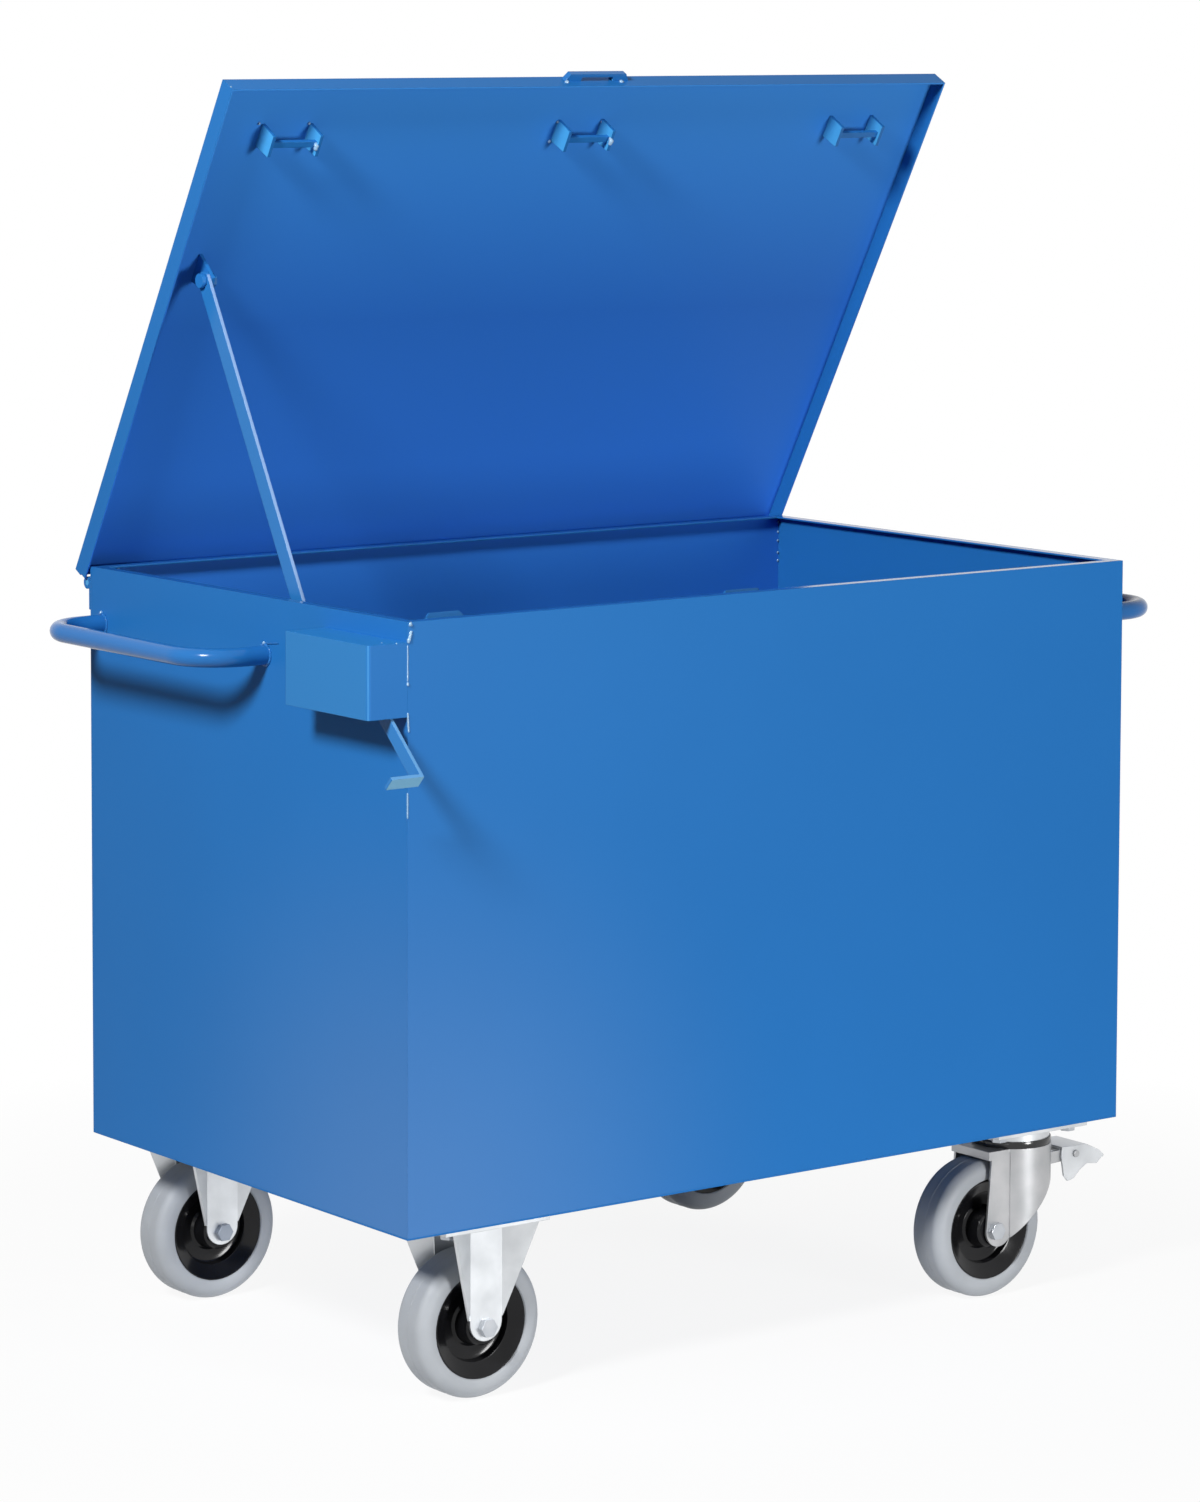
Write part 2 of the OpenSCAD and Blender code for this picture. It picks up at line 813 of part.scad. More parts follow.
// Top plate with the upper bearing race and the kingpin.
module swivel_plate(back) {
    race_r = 44;
    nut_r = 11;
    color(zinc) at_caster(body_l - swivel_x, back)
        difference() {
            union() {
                caster_plate();
                translate([0, 0, race_z]) cylinder(r = race_r, h = plate_z - race_z);
                translate([0, 0, crown_z - 8]) cylinder(r = king_r, h = race_z - crown_z + 9);
                translate([0, 0, crown_z - 8]) cylinder(r = nut_r, h = 8 - face_gap);
            }
            translate([0, 0, caster_h]) plate_holes();
        }
}

module plate_front_right() { swivel_plate(false); }
module plate_back_right() { swivel_plate(true); }

// Swivel fork: round crown with a skirt at the front that runs back into two legs.
module swivel_fork(back) {
    crown_t = 4;
    top = crown_z + crown_t;
    lip = 6;
    leg_out = leg_in + leg_t;
    foot = [-trail + 6, wheel_r - 1];
    foot_r = 18.5;
    leg_back = foot[0] - foot_r + 8;
    heel = leg_back - 5;
    skirt_back = -31;
    skirt_low = foot[1] - 10.6;
    lug_in = 20;
    lug_t = 3;
    lug_r = 6.5;
    color(zinc) at_caster(body_l - swivel_x, back)
        difference() {
            union() {
                translate([0, 0, crown_z]) cylinder(r = crown_r, h = crown_t);
                translate([heel, -leg_out, crown_z]) cube([-heel, 2 * leg_out, crown_t]);
                translate([heel, -leg_out, crown_z - lip]) cube([leg_t, 2 * leg_out, lip]);
                translate([0, 0, top]) cylinder(r = crown_r - 8, h = race_z - top - face_gap);
                intersection() {
                    difference() {
                        cylinder(r = crown_r, h = top);
                        translate([0, 0, -poke])
                            cylinder(r = crown_r - skirt_t, h = crown_z + poke);
                    }
                    along_y(-crown_r, crown_r)
                        polygon([
                            [skirt_back, top], [crown_r + poke, top],
                            [crown_r + poke, top - 28], [skirt_back, skirt_low]
                        ]);
                }
                for (side = [0, 1])
                    mirror([0, side, 0]) {
                        along_y(-leg_out, -leg_in) {
                            translate(foot) circle(r = foot_r);
                            polygon([
                                [foot[0] - foot_r, foot[1]], [leg_back, top],
                                [skirt_back + 3, top], [skirt_back + 3, skirt_low + 2.5],
                                [foot[0] + 12.2, foot[1] - 13.9]
                            ]);
                        }
                        translate([heel, -leg_out, crown_z - lip])
                            cube([leg_back - heel, leg_t, lip]);
                        along_y(-lug_in - lug_t, -lug_in) {
                            translate(pedal_pivot) circle(r = lug_r);
                            polygon([
                                [crown_r - 6, pedal_pivot[1] - lug_r - 1.5],
                                [pedal_pivot[0], pedal_pivot[1] - lug_r],
                                [pedal_pivot[0], pedal_pivot[1] + lug_r],
                                [crown_r - 6, pedal_pivot[1] + lug_r - 0.5]
                            ]);
                        }
                    }
                bar_y(-28, 28, pedal_pin_r, pedal_pivot);
            }
            translate([0, 0, crown_z - poke])
                cylinder(r = king_r + run_fit, h = race_z - crown_z + 2 * poke);
            bar_y(-2 * leg_in, 2 * leg_in, axle_r, [-trail, wheel_r]);
        }
}

module fork_front_right() { swivel_fork(false); }
module fork_back_right() { swivel_fork(true); }

// Foot pedal of the wheel brake: a pressed channel turning on a pin in the fork's lugs.
module pedal(back) {
    cheek_in = 23.5;
    cheek_t = 2.5;
    cheek_out = cheek_in + cheek_t;
    skin = 2.5;
    heel = [-21, 10];
    knee = [17, 9];
    toe = [36, 0];
    tip = [44, -7];
    color(zinc) at_caster(body_l - swivel_x, back)
        translate([pedal_pivot[0], 0, pedal_pivot[1]])
            difference() {
                union() {
                    for (side = [0, 1])
                        mirror([0, side, 0])
                            along_y(-cheek_out, -cheek_in)
                                polygon([
                                    heel, knee, toe, tip, [33, -16], [18, -14], [7, -20],
                                    [-3, -29], [-12, -31], [-18, -24], [-22, -1]
                                ]);
                    along_y(-cheek_out, cheek_out)
                        polygon([
                            heel, knee, toe, tip, tip - [1, skin], toe - [1, skin],
                            knee - [0.5, skin], heel - [0, skin]
                        ]);
                }
                bar_y(-crown_r, crown_r, pedal_pin_r + run_fit, [0, 0]);
            }
}

module pedal_front_right() { pedal(false); }
module pedal_back_right() { pedal(true); }

front_panel();
back_panel();
left_panel();
right_panel();
floor_panel();
rim_lip();
lid_pan();
lid_pull();
keeper_left();
keeper_centre();
keeper_right();
hinge_leaf_left();
hinge_leaf_centre();
hinge_leaf_right();
lid_leaf_left();
lid_leaf_centre();
lid_leaf_right();
hinge_pin_left();
hinge_pin_centre();
hinge_pin_right();
stay_bracket();
stay_bolt();
stay_bar();
stay_pin();
stay_guide();
lock_shaft();
hook_left();
hook_centre();
hook_right();
lock_lever();
shaft_bearing_left();
shaft_bearing_centre();
shaft_bearing_right();
padlock_shroud();
padlock_staple();
handle_left();
handle_right();
fixed_caster_bolts();
swivel_caster_bolts();
fork_front_left();
axle_front_left();
rim_front_left();
tyre_front_left();
fork_back_left();
axle_back_left();
rim_back_left();
tyre_back_left();
plate_front_right();
fork_front_right();
axle_front_right();
rim_front_right();
tyre_front_right();
pedal_front_right();
plate_back_right();
fork_back_right();
axle_back_right();
rim_back_right();
tyre_back_right();
pedal_back_right();
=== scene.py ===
import bpy, bmesh, math, random
from mathutils import Matrix, Vector


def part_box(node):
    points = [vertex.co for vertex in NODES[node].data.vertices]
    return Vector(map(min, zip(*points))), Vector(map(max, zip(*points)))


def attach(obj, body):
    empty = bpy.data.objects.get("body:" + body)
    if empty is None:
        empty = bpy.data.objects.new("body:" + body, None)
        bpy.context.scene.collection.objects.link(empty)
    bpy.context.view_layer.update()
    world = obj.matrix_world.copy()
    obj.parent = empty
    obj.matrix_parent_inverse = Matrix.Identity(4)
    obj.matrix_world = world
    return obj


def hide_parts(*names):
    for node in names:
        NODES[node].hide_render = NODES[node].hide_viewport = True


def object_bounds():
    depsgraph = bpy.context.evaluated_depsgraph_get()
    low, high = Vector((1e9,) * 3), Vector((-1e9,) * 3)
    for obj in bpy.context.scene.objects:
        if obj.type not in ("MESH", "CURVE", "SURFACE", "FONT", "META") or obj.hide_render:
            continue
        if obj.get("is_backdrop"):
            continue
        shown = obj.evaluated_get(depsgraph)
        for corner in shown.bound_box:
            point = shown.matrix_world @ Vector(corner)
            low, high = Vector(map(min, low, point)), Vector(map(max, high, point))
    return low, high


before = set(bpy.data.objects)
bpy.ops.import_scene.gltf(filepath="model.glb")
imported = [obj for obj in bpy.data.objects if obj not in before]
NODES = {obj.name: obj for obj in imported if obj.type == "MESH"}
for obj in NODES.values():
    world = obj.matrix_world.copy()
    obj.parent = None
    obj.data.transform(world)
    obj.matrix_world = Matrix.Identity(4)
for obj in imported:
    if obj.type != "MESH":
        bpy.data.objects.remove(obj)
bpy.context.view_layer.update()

scene = bpy.context.scene

# Camera: a long lens at the front left, a little above the rim, looking 5 degrees down.
# Its place and lens come from fitting the body's corners and the wheels in the photograph.
PICTURE_H, FILM_MM = 1502, 36.0
LENS_PX, CENTRE_V = 5052.95, 450.6
CAM_AT = Vector((-3.45099, -4.559703, 1.485))
CAM_YAW, CAM_PITCH, CAM_ROLL = 0.6442, 0.08891, 0.00325
cam = bpy.data.objects.new("camera", bpy.data.cameras.new("camera"))
scene.collection.objects.link(cam)
cam.data.sensor_width = FILM_MM
cam.data.lens = LENS_PX / PICTURE_H * FILM_MM
cam.data.shift_y = (CENTRE_V - PICTURE_H / 2) / PICTURE_H
cam.data.clip_start, cam.data.clip_end = 0.1, 60
cam.matrix_world = (Matrix.Translation(CAM_AT)
                    @ Matrix.Rotation(-CAM_YAW, 4, "Z")
                    @ Matrix.Rotation(math.pi / 2 - CAM_PITCH, 4, "X")
                    @ Matrix.Rotation(CAM_ROLL, 4, "Z"))
scene.camera = cam
scene.view_settings.view_transform = "Standard"


# Floor and backdrop: a wide pale floor that shows the wheels' soft shadow.
# Away from the chest it fades to the white of the world.
FLOOR_HALF, FLOOR_DROP = 9.0, 0.0005
FADE = (0.3, 1.4)           # metres from the middle of the floor
FLOOR_NEAR, FLOOR_FAR = (0.86, 0.86, 0.86), (0.22, 0.22, 0.22)
WHITE = (1, 1, 1, 1)
DIM, DIM_STRENGTH = (0.94, 0.97, 1, 1), 0.035
RANGE_KEYS = ("Value", "From Min", "From Max", "To Min", "To Max")


def material(name):
    """A new material with an empty tree: the material, its tree and its output."""
    m = bpy.data.materials.new(name)
    m.use_nodes = True
    m.node_tree.nodes.clear()
    return m, m.node_tree, m.node_tree.nodes.new("ShaderNodeOutputMaterial")


def put(nt, socket, value):
    """Wires an output to the socket, or sets the socket to a constant."""
    if isinstance(value, bpy.types.NodeSocket):
        nt.links.new(value, socket)
    else:
        socket.default_value = value


def node(nt, kind, **sockets):
    n = nt.nodes.new("ShaderNode" + kind)
    for key, value in sockets.items():
        put(nt, n.inputs[key.replace("_", " ")], value)
    return n


def maths(nt, operation, *values, kind="Math"):
    n = nt.nodes.new("ShaderNode" + kind)
    n.operation = operation
    for socket, value in zip(n.inputs, values):
        put(nt, socket, value)
    return n.outputs["Value"]


def ranged(nt, value, span=(0.0, 1.0), to=(0.0, 1.0), curve="LINEAR"):
    """A value's place in the span, carried over to the range in to and held at its ends."""
    n = nt.nodes.new("ShaderNodeMapRange")
    n.interpolation_type = curve
    for key, setting in zip(RANGE_KEYS, (value, *span, *to)):
        put(nt, n.inputs[key], setting)
    return n.outputs["Result"]


def shaded(nt, share, *stops):
    """The colour that a share from 0 to 1 picks between (position, colour) stops."""
    n = node(nt, "ValToRGB", Fac=share)
    marks = n.color_ramp.elements
    for position, _ in stops[1:-1]:
        marks.new(position)
    for mark, (position, colour) in zip(marks, stops):
        mark.position, mark.color = position, (*colour[:3], 1)
    return n.outputs["Color"]


def seen_by(nt, *kinds):
    """1 for the camera's rays and for these kinds of ray, and 0 for all others."""
    rays = node(nt, "LightPath").outputs
    share = rays["Is Camera Ray"]
    for kind in kinds:
        share = maths(nt, "MAXIMUM", share, rays["Is %s Ray" % kind])
    return share


def either(nt, share, first, second):
    """Shows the first shader at share 0 and the second at share 1."""
    n = node(nt, "MixShader", Fac=share)
    nt.links.new(first.outputs[0], n.inputs[1])
    nt.links.new(second.outputs[0], n.inputs[2])
    return n.outputs[0]


bm = bmesh.new()
bmesh.ops.create_grid(bm, x_segments=4, y_segments=4, size=FLOOR_HALF)
me = bpy.data.meshes.new("floor")
bm.to_mesh(me)
bm.free()
floor = bpy.data.objects.new("floor", me)
scene.collection.objects.link(floor)
floor.location.z = -FLOOR_DROP
floor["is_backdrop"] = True
m, nt, out = material("floor_pale")
away = maths(nt, "LENGTH", node(nt, "NewGeometry").outputs["Position"], kind="VectorMath")
tone = shaded(nt, ranged(nt, away, FADE), (0.25, FLOOR_NEAR), (0.85, FLOOR_FAR))
glow = maths(nt, "MULTIPLY", seen_by(nt, "Glossy"), ranged(nt, away, FADE, (0.9, 1.0)))
nt.links.new(either(nt, glow, node(nt, "BsdfDiffuse", Color=tone),
                    node(nt, "Emission", Color=WHITE, Strength=1.0)), out.inputs["Surface"])
floor.data.materials.append(m)

world = bpy.data.worlds.new("world")
world.use_nodes = True
scene.world = world
nt = world.node_tree
nt.nodes.clear()
out = nt.nodes.new("ShaderNodeOutputWorld")
nt.links.new(either(nt, seen_by(nt, "Glossy", "Transmission"),
                    node(nt, "Background", Color=DIM, Strength=DIM_STRENGTH),
                    node(nt, "Background", Color=WHITE, Strength=1.0)), out.inputs["Surface"])

# Lamps: a key from high on the left and in front, which throws the shadows of the shroud and
# the handle down the left wall, a level fill before the front, and a weak lamp by the casters.
KEY_AIM = Vector((-0.2, 0, 0.7))
KEY_FROM, KEY_FAR = Vector((-1.0, -0.45, 0.75)).normalized(), 4.2
LAMPS = (("key", KEY_AIM + KEY_FROM * KEY_FAR, KEY_AIM, 0.85, 200),
         ("fill", Vector((1.0, -4.6, 0.75)), Vector((0.15, 0, 0.75)), 1.3, 134),
         ("low_fill", Vector((-1.9, -1.9, 0.3)), Vector((-0.4, -0.2, 0.15)), 0.6, 1.5))
for name, place, aim, size, watts in LAMPS:
    data = bpy.data.lights.new(name, "AREA")
    data.shape, data.size, data.energy = "DISK", size, watts
    o = bpy.data.objects.new(name, data)
    scene.collection.objects.link(o)
    o.location = place
    o.rotation_euler = (aim - place).to_track_quat("-Z", "Y").to_euler()


# Body: five panels of sheet steel in blue powder coat, welded along their corners.
# The coat has a fine orange peel, and low on the front left corner a pale painted sheen, a painted
# reflection of the floor.
BLUE = (0.0175, 0.156, 0.455)
BLUE_DEEP = (0.0160, 0.146, 0.430)
SHEEN_PALE = (0.45, 0.56, 0.70, 1)
INNER_PAINTED_LIGHT = (0.028, 0.185, 0.66)
PAINTED_SHEEN_AT, PAINTED_SHEEN_REACH, PAINTED_SHEEN_SHARE = (-0.5, -0.30, 0.17), 0.55, 0.11
CLOUD_SCALE, PEEL_SCALE, SPECK_SCALE, SPECK_SHARE = 2.6, 420.0, 1400.0, 0.35
MOTTLE_LOW, MOTTLE_HIGH = 0.40, 0.95
RELIEF_DEEP, EDGE_SAMPLES = 0.0003, 6
FACING = (0.93, 0.98)


def noise(nt, at, scale, detail):
    return node(nt, "TexNoise", Vector=at, Scale=scale, Detail=detail).outputs["Fac"]


def laid_over(nt, share, under, over):
    """A colour laid over another by a share."""
    n = node(nt, "Mix")
    n.data_type = "RGBA"
    for index, value in ((0, share), (6, under), (7, over)):
        put(nt, n.inputs[index], value)
    return n.outputs[2]


def finish(nt, out, colour, dull, grain, depth, edge, **sockets):
    """Ends a finish: its colour and gloss, its grain as relief, and slightly broken edges."""
    soft = node(nt, "Bevel", Radius=edge)
    soft.samples = EDGE_SAMPLES
    relief = node(nt, "Bump", Strength=depth, Distance=RELIEF_DEEP, Height=grain,
                  Normal=soft.outputs["Normal"])
    shader = node(nt, "BsdfPrincipled", Base_Color=colour, Roughness=dull,
                  Normal=relief.outputs["Normal"], **sockets)
    nt.links.new(shader.outputs[0], out.inputs["Surface"])


def paint(name, low=BLUE_DEEP, high=BLUE, peel=0.12, rough=(0.34, 0.44), edge=0.0009, shine=0.08,
          faces=(), painted_sheen=None):
    """Powder coat. Each of faces is a way, with a tone of painted light or shade laid on the faces
    turned that way, or with its three tones from one height to another. A pale painted sheen can be
    laid round a spot."""
    m, nt, out = material(name)
    at = node(nt, "TexCoord").outputs
    cloud = noise(nt, at["Object"], CLOUD_SCALE, 3.0)
    grain = noise(nt, at["Object"], PEEL_SCALE, 2.0)
    speck = noise(nt, at["Object"], SPECK_SCALE, 1.0)
    mottle = maths(nt, "MULTIPLY_ADD", speck, SPECK_SHARE, cloud)
    coat = shaded(nt, mottle, (MOTTLE_LOW, low), (MOTTLE_HIGH, high))
    for way, tones, *span in faces:
        if span:
            height = node(nt, "SeparateXYZ", Vector=at["Object"]).outputs["Z"]
            tone = shaded(nt, ranged(nt, height, span), *zip((0.0, 0.5, 1.0), tones))
        else:
            tone = (*tones, 1)
        turn = maths(nt, "DOT_PRODUCT", at["Normal"], way, kind="VectorMath")
        coat = laid_over(nt, ranged(nt, turn, FACING), coat, tone)
    # A pale painted sheen round a spot, a painted reflection of the floor, fading with distance.
    if painted_sheen:
        spot, reach, share = painted_sheen
        off = maths(nt, "DISTANCE", at["Object"], spot, kind="VectorMath")
        coat = laid_over(nt, ranged(nt, off, (0.0, reach), (share, 0.0), "SMOOTHSTEP"), coat, SHEEN_PALE)
    finish(nt, out, coat, ranged(nt, grain, to=rough), grain, peel, edge, Specular_IOR_Level=shine)
    return m


def dress(mat, *names):
    for name in names:
        mats = NODES[name].data.materials
        mats.clear()
        mats.append(mat)


body_paint = paint("body_paint")
# The front and left walls carry the pale painted sheen low on their shared corner.
wall_paint = paint("wall_paint", painted_sheen=(PAINTED_SHEEN_AT, PAINTED_SHEEN_REACH, PAINTED_SHEEN_SHARE))
# The back wall's inner face, turned to the front, is painted lighter and bluer: painted light.
back_paint = paint("back_paint", faces=[((0, -1, 0), INNER_PAINTED_LIGHT)])
dress(wall_paint, "front_panel", "left_panel")
dress(back_paint, "back_panel")
dress(body_paint, "right_panel", "floor_panel")

# Corner weld: beads run down the front left corner in spots and thin seams, ground and painted
# over. They are glossier than the sheet, and their pale coat is a painted highlight.
BEAD_SIDES, BEAD_STEP = 8, 0.5
BEAD_TAPER = (0.45, 0.8, 0.95, 1.0)
RIPPLE, RIPPLE_TURN, WANDER, SHAKE = 0.13, 2.0, 0.12, 0.08


def add(name, bm, mat, body):
    me = bpy.data.meshes.new(name)
    bmesh.ops.recalc_face_normals(bm, faces=bm.faces)
    bm.to_mesh(me)
    bm.free()
    for p in me.polygons:
        p.use_smooth = True
    me.materials.append(mat)
    o = bpy.data.objects.new(name, me)
    scene.collection.objects.link(o)
    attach(o, body)
    return o


def bead(bm, pts, r, seed, closed=False):
    """A rippled weld bead of radius r along pts, added to bm."""
    rng = random.Random(seed)
    path = [Vector(p) for p in pts]
    if closed:
        path.append(path[0])
    run = [path[0]]
    for a, b in zip(path, path[1:]):
        n = max(1, round((b - a).length / (r * BEAD_STEP)))
        run += [a.lerp(b, (i + 1) / n) for i in range(n)]
    if closed:
        run.pop()
    rings = []
    for i, p in enumerate(run):
        nxt = run[(i + 1) % len(run)] if closed or i + 1 < len(run) else run[i]
        prv = run[i - 1] if closed or i else run[0]
        along = (nxt - prv).normalized() if (nxt - prv).length > 1e-9 else Vector((0, 0, 1))
        side = along.orthogonal().normalized()
        up = along.cross(side)
        end = len(BEAD_TAPER) if closed else min(i, len(run) - 1 - i)
        grow = BEAD_TAPER[min(end, len(BEAD_TAPER) - 1)]
        size = r * grow * (1 + RIPPLE * math.sin(i * RIPPLE_TURN) + rng.uniform(-WANDER, WANDER))
        off = Vector((rng.uniform(-1, 1), rng.uniform(-1, 1), rng.uniform(-1, 1))) * r * SHAKE
        angles = (k * math.tau / BEAD_SIDES for k in range(BEAD_SIDES))
        rings.append([bm.verts.new(p + off + (side * math.cos(a) + up * math.sin(a)) * size)
                      for a in angles])
    for a, b in list(zip(rings, rings[1:])) + ([(rings[-1], rings[0])] if closed else []):
        for k in range(BEAD_SIDES):
            far = (k + 1) % BEAD_SIDES
            bm.faces.new((a[k], a[far], b[far], b[k]))
    if not closed:
        bm.faces.new(rings[0][::-1])
        bm.faces.new(rings[-1])


def weld(name, mat, body, beads):
    """A piece made of beads, each given as its points, radius and seed."""
    bm = bmesh.new()
    for points, r, seed in beads:
        bead(bm, points, r, seed)
    add(name, bm, mat, body)


# The welds' pale coat is a painted highlight on the glossy beads.
weld_highlight_paint = paint("weld_highlight_paint", (0.12, 0.30, 0.52), (0.34, 0.50, 0.66), peel=0.3,
                   rough=(0.12, 0.20), edge=0.0003, shine=0.5)
front_lo, front_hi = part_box("front_panel")
X0, X1, Y0, Y1 = front_lo.x, front_hi.x, front_lo.y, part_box("back_panel")[1].y
RIM = front_hi.z
weld("corner_welds", weld_highlight_paint, "box", [
    ([(X0 + dx, Y0 + dy, RIM - dz) for dx, dy, dz in ends], r, seed) for ends, r, seed in (
        (((0.0015, 0.0005, 0.0015), (0.0055, 0.0003, 0.0035)), 0.0034, 1),
        (((0.0045, 0.0002, 0.0090), (0.0005, 0.0003, 0.0220)), 0.0019, 2),
        (((-0.0002, 0.0002, 0.0240), (-0.0002, 0.0002, 0.0620)), 0.0008, 5),
        (((0, 0.0002, 0.0625), (0, 0.0002, 0.0665)), 0.0017, 3),
        (((0, 0.0002, 0.0940), (0.0012, 0.0002, 0.1150)), 0.0011, 4),
        (((-0.0002, 0.0002, 0.1780), (-0.0002, 0.0002, 0.2050)), 0.0009, 6))])

# Rim: a lip turned in all round the opening, in a glossier coat that catches a bright line.
# Spots of weld, pale as a painted highlight, show in the rear right corner below it, and one at the
# rear left.
lip_paint = paint("lip_paint", peel=0.05, rough=(0.10, 0.16), shine=0.5)
dress(lip_paint, "rim_lip")
SPOT_R, SPOT_TOPS = 0.0016, (0.838, 0.826, 0.815, 0.800, 0.790)
x, y, z = X1 - 0.0035, Y1 - 0.0032, RIM - 0.0045
weld("rim_welds", weld_highlight_paint, "box",
     [([(x, y, top), (x, y, top - 0.003)], SPOT_R, 20 + k) for k, top in enumerate(SPOT_TOPS)]
     + [([(X0 + 0.033, Y1 - 0.003, z), (X0 + 0.037, Y1 - 0.003, z)], SPOT_R, 26)])

# Lid: a shallow pan of the same sheet, turned down at its edges, with a grab strip on its front
# edge and three keepers inside. Spots of weld, pale as a painted highlight, fix the keepers' plates
# and the strip's ends.
# The pan's inner face is painted lighter and bluer, in three tones from its foot to its top:
# painted light.
PAN_PAINTED_LIGHT = ((0.034, 0.198, 0.74), (0.026, 0.153, 0.56), (0.046, 0.255, 0.70))
PAN_WAY, PAN_FOOT, PAN_TOP = (0, -0.873, -0.488), 0.86, 1.38
lid_paint = paint("lid_paint", faces=[(PAN_WAY, PAN_PAINTED_LIGHT, PAN_FOOT, PAN_TOP)])
# Faces of the keepers, pull and hinge pins turned to the left are painted lighter: painted light.
keeper_paint = paint("keeper_paint", rough=(0.20, 0.30), shine=0.2,
                     faces=[((-1, 0, 0), (0.060, 0.330, 0.66))])
dress(lid_paint, "lid_pan")
dress(keeper_paint, "lid_pull", "keeper_left", "keeper_centre", "keeper_right")
PLATE_SPOTS = ((-0.4429, 0.0666, 1.3507), (-0.3774, 0.0671, 1.3499), (-0.0382, 0.0684, 1.3476),
               (-0.0409, 0.0809, 1.3252), (0.0250, 0.0684, 1.3474))
END_SPOTS = ((-0.3765, 0.0552, 1.3251), (0.0250, 0.0521, 1.3250))
STRIP_SPOTS = (-0.0540, 0.0230)
PLATE_R, STRIP_R, CORNER_R = 0.0026, 0.0027, 0.0020
weld("lid_welds", weld_highlight_paint, "lid",
     [([(x, y - 0.001, z), (x + 0.0022, y - 0.0005, z - 0.0009)], PLATE_R, 30 + k)
      for k, (x, y, z) in enumerate(PLATE_SPOTS)]
     + [([(x, y, z - 0.005), (x + 0.0010, y - 0.002, z), (x + 0.0005, y, z + 0.004)], PLATE_R,
         40 + k) for k, (x, y, z) in enumerate(END_SPOTS)]
     + [([(x, 0.0310, 1.3926), (x + 0.0050, 0.0310, 1.3926)], STRIP_R, 50 + k)
        for k, x in enumerate(STRIP_SPOTS)]
     + [([(-0.5035, 0.0290, 1.3905), (-0.5015, 0.0285, 1.3900)], CORNER_R, 55)])

# Hinges: three weld-on barrels along the back, painted over with their pins. Their leaves are
# welded to the back wall and to the lid's rear flange.
THIRDS = ("left", "centre", "right")
dress(body_paint, *["hinge_leaf_" + s for s in THIRDS])
dress(lid_paint, *["lid_leaf_" + s for s in THIRDS])
dress(keeper_paint, *["hinge_pin_" + s for s in THIRDS])


# Stay: a flat painted bar from a bracket on the lid to the curved guide on the left wall, with a
# zinc-plated pin at its foot. Its narrow front edge is painted pale as a highlight.
SPANGLE_SCALE, ZINC_GRAIN, ZINC_DEPTH, ZINC_EDGE, METALLIC = 28.0, 260.0, 0.05, 0.0009, 0.85
FILM_LOW, FILM_HIGH = 0.3, 0.7


def metal(name, low, high, rough):
    """Zinc plating: a cloudy spangle over a very fine grain."""
    m, nt, out = material(name)
    at = node(nt, "TexCoord").outputs["Object"]
    spangle, grain = noise(nt, at, SPANGLE_SCALE, 4.0), noise(nt, at, ZINC_GRAIN, 3.0)
    film = shaded(nt, spangle, (FILM_LOW, low), (FILM_HIGH, high))
    finish(nt, out, film, ranged(nt, spangle, to=rough), grain, ZINC_DEPTH, ZINC_EDGE,
           Metallic=METALLIC)
    return m


EDGE_HIGHLIGHT = (0.22, 0.36, 0.62)
stay_paint = paint("stay_paint", BLUE, (0.020, 0.170, 0.48), rough=(0.20, 0.30), shine=0.2)
# The bar's narrow edge turned forward and up is painted pale: a painted highlight.
bar_paint = paint("bar_paint", (0.020, 0.165, 0.46), (0.026, 0.185, 0.50), rough=(0.20, 0.30),
                  shine=0.15, faces=[((0, -0.876, 0.482), EDGE_HIGHLIGHT)])
# Bolts and pins get a darker copy of the zinc: a painted shade.
bolt_zinc = metal("bolt_zinc", (0.36, 0.39, 0.43), (0.52, 0.54, 0.57), (0.22, 0.34))
dress(bar_paint, "stay_bar")
dress(stay_paint, "stay_bracket", "stay_guide", "stay_bolt")
dress(bolt_zinc, "stay_pin")

# Lock: a painted shaft in three bearings behind the front panel, with three hooks, and a bent
# lever outside the left end. A shroud of folded sheet is welded over the padlock staple there.
# The shroud's top and left face are painted lighter as painted light, and its rounded front corner
# as a painted highlight.
shroud_paint = paint("shroud_paint", faces=[((0, 0, 1), (0.024, 0.200, 0.53)),
                                            ((-1, 0, 0), (0.031, 0.188, 0.465)),
                                            ((-0.707, -0.707, 0), (0.050, 0.225, 0.52))])
# The lever's upper front edge is painted pale as a highlight, and its tab facing down and forward
# is painted lighter: painted light.
lever_paint = paint("lever_paint", (0.022, 0.175, 0.47), (0.026, 0.190, 0.50), rough=(0.20, 0.30),
                    shine=0.15, faces=[((0, -0.68, 0.73), (0.10, 0.28, 0.54)),
                                       ((0, -0.73, -0.68), (0.20, 0.46, 0.66))])
dress(shroud_paint, "padlock_shroud")
dress(stay_paint, "lock_shaft", "hook_left", "hook_centre", "hook_right", "padlock_staple")
dress(lever_paint, "lock_lever")
dress(body_paint, *["shaft_bearing_" + s for s in THIRDS])
SHROUD_SPOT_R = 0.0013
SHROUD_SPOTS = ((-0.5484, -0.2995, 0.8226), (-0.5247, -0.2887, 0.8236), (-0.5148, -0.3008, 0.8236))
# Spots of weld on the shroud, pale as a painted highlight.
weld("shroud_welds", weld_highlight_paint, "box",
     [([(x, y, z), (x + 0.0016, y, z)], SHROUD_SPOT_R, 70 + k)
      for k, (x, y, z) in enumerate(SHROUD_SPOTS)])

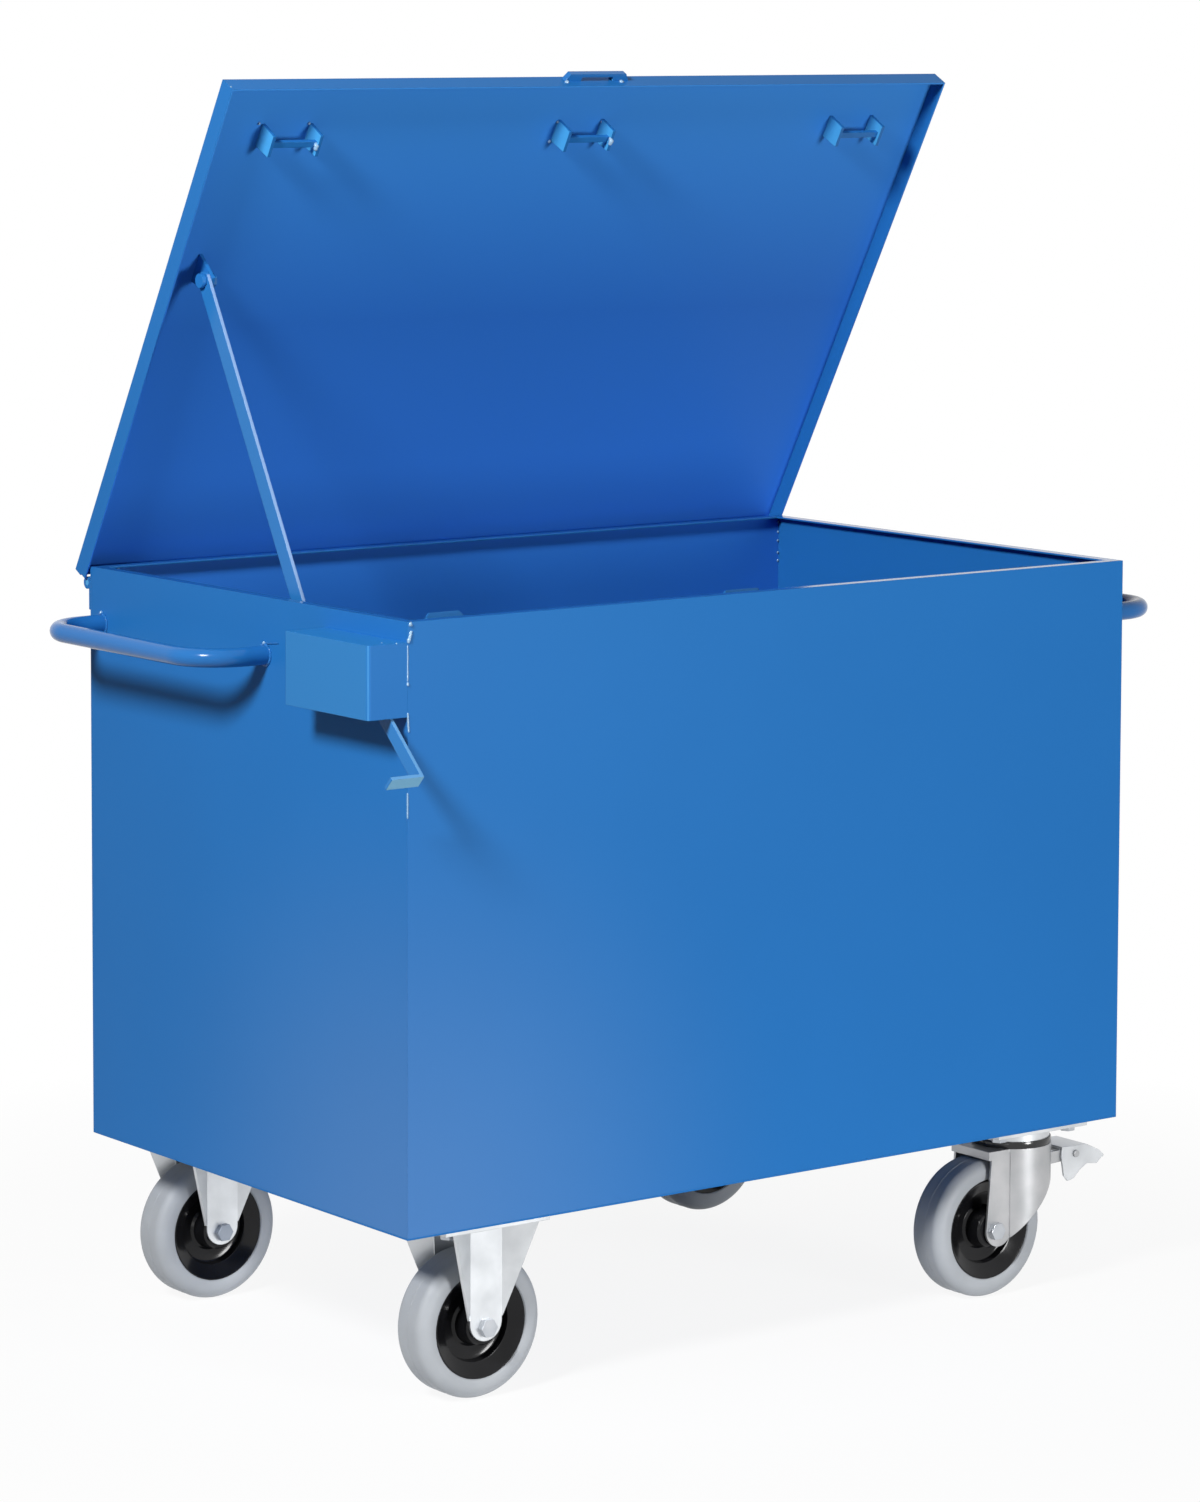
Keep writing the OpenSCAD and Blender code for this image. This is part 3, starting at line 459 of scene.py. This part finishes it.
# Handles: bent round tube, one on each end wall, in a glossy coat. Each foot is welded on all
# round, with a spot of weld on top painted pale as a highlight, and a thin seam runs to the front
# foot of the left one.
TUBE_R, FOOT_R, FOOT_STEPS = 0.0105, 0.0113, 20
RING_R, TOP_R, SEAM_R = 0.0014, 0.0024, 0.0008
tube_paint = paint("tube_paint", peel=0.06, rough=(0.14, 0.20), shine=0.22)
dress(tube_paint, "handle_left", "handle_right")
for side, x in (("left", X0 - 0.0006), ("right", X1 + 0.0006)):
    lo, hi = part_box("handle_" + side)
    z = (lo.z + hi.z) / 2
    rings = bmesh.new()
    spots = []
    for k, y in enumerate((lo.y + TUBE_R, hi.y - TUBE_R)):
        turn = [i * math.tau / FOOT_STEPS for i in range(FOOT_STEPS)]
        bead(rings, [(x, y + FOOT_R * math.cos(a), z + FOOT_R * math.sin(a)) for a in turn],
             RING_R, 60 + k, closed=True)
        top = z + TUBE_R + 0.0022
        spots.append(([(x, y - 0.001, top), (x, y + 0.003, top)], TOP_R, 64 + k))
    if side == "left":
        seam = [(x, lo.y + TUBE_R - 0.004, z + 0.0130), (x, lo.y - 0.016, z + 0.0155)]
        bead(rings, seam, SEAM_R, 68)
    add("handle_welds_" + side, rings, tube_paint, "box")
    weld("handle_weld_spots_" + side, weld_highlight_paint, "box", spots)


# Casters: two fixed at the left and two swivelling at the right, bolted on under the floor.
# Forks, plates and pedals are pressed steel in zinc, rims black plastic, tyres grey rubber.
FLOW_SCALE, MOULD_EDGE = 18.0, 0.0008


def moulded(name, low, high, rough, scale, depth, shine=0.5):
    """Moulded rubber or plastic, with a fine grain from its tool."""
    m, nt, out = material(name)
    at = node(nt, "TexCoord").outputs["Object"]
    flow, grain = noise(nt, at, FLOW_SCALE, 3.0), noise(nt, at, scale, 3.0)
    tone = shaded(nt, flow, (FILM_LOW, low), (FILM_HIGH, high))
    finish(nt, out, tone, ranged(nt, grain, to=rough), grain, depth, MOULD_EDGE,
           Specular_IOR_Level=shine)
    return m


CORNERS = ("front_left", "back_left", "front_right", "back_right")
rubber = moulded("tyre_rubber", (0.325, 0.345, 0.37), (0.38, 0.40, 0.425), (0.5, 0.65), 320.0, 0.12)
black = moulded("rim_plastic", (0.004, 0.004, 0.005), (0.008, 0.008, 0.009), (0.10, 0.18), 150.0,
                0.03, shine=0.24)
zinc = metal("zinc", (0.52, 0.54, 0.56), (0.64, 0.66, 0.68), (0.28, 0.42))
# The swivel forks get a darker copy of the zinc: a painted shade of their darker reflections.
swivel_fork_shaded_zinc = metal("swivel_fork_shaded_zinc", (0.39, 0.40, 0.41), (0.48, 0.48, 0.49), (0.28, 0.42))
# The back left axle gets a darker, bluer zinc: a painted shade of its dark reflection.
shaded_axle_zinc = metal("shaded_axle_zinc", (0.16, 0.19, 0.24), (0.26, 0.29, 0.34), (0.30, 0.42))
dress(rubber, *["tyre_" + c for c in CORNERS])
dress(black, *["rim_" + c for c in CORNERS])
dress(zinc, "fork_front_left", "fork_back_left", "plate_front_right", "plate_back_right",
      "pedal_front_right", "pedal_back_right")
dress(swivel_fork_shaded_zinc, "fork_front_right", "fork_back_right")
dress(bolt_zinc, "axle_front_left", "axle_front_right", "axle_back_right", "fixed_caster_bolts",
      "swivel_caster_bolts")
dress(shaded_axle_zinc, "axle_back_left")


# Wheels: a moulded rim with a raised hub and a coned web, and a rubber tyre with rounded
# shoulders pressed on it. A fine parting ridge runs round the middle of the tread.
TURN_STEPS, SHARP_DEG = 144, 28
SHOULDER_AT, SHOULDER_R, SHOULDER_STEP = (67, -12), 13, math.radians(9)


def turned(name, outline, centre, mat, body, stands_for=None, axis="y"):
    """A closed outline of (radius, height) pairs in millimetres turned about an axis."""
    bm = bmesh.new()
    rings = []
    for k in range(TURN_STEPS):
        c, s = math.cos(k * math.tau / TURN_STEPS), math.sin(k * math.tau / TURN_STEPS)
        ring = []
        for r, h in outline:
            off = (r * c, h, r * s) if axis == "y" else (r * c, r * s, h)
            ring.append(bm.verts.new(centre + Vector(off) * 0.001))
        rings.append(ring)
    n = len(outline)
    for a, b in zip(rings, rings[1:] + rings[:1]):
        for i in range(n):
            bm.faces.new((a[i], a[(i + 1) % n], b[(i + 1) % n], b[i]))
    o = add(name, bm, mat, body)
    o.data.set_sharp_from_angle(angle=math.radians(SHARP_DEG))
    if stands_for:
        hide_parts(stands_for)


def both_sides(half):
    """A wheel's outline from the half of it that lies before its middle."""
    return half + [(r, -y) for r, y in reversed(half)]


shoulder = [(SHOULDER_AT[0] + SHOULDER_R * math.sin(i * SHOULDER_STEP),
             SHOULDER_AT[1] - SHOULDER_R * math.cos(i * SHOULDER_STEP)) for i in range(1, 10)]
TYRE = both_sides([(58, -23), (59, -24.4), (61, -25), (67, -25)] + shoulder
                  + [(79.6, -11), (79.6, -0.9), (79.95, -0.5)])
RIM_OUTLINE = both_sides([
    (8, -28), (19, -28), (21, -26), (21.5, -12), (23, -8), (26, -6), (38, -6), (40, -7),
    (40.5, -12), (41.5, -14.5), (43, -15), (54, -22), (57, -23.5), (58, -23)])
for c in CORNERS:
    lo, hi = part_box("tyre_" + c)
    mid = (lo + hi) / 2
    turned("tyre_turned_" + c, TYRE, mid, rubber, "wheel_" + c, "tyre_" + c)
    turned("rim_turned_" + c, RIM_OUTLINE, mid, black, "wheel_" + c, "rim_" + c)

# Swivel heads: a black ring sits round the races of each head, on the fork under the top plate, and
# turns with it.
DARK_RING = [(37.5, 171.3), (45.2, 171.3), (45.8, 173), (45.8, 178.4), (45.2, 180), (44.2, 180),
        (44.2, 176.8), (37.5, 176.8)]
dark_ring = moulded("dark_ring_plastic", (0.010, 0.010, 0.011), (0.018, 0.018, 0.019), (0.12, 0.20), 150.0,
               0.03)
for side in ("front", "back"):
    lo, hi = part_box("plate_%s_right" % side)
    axis_at = Vector(((lo.x + hi.x) / 2, (lo.y + hi.y) / 2, 0))
    turned("seal_%s_right" % side, DARK_RING, axis_at, dark_ring, "swivel_" + side, axis="z")

lo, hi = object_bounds()
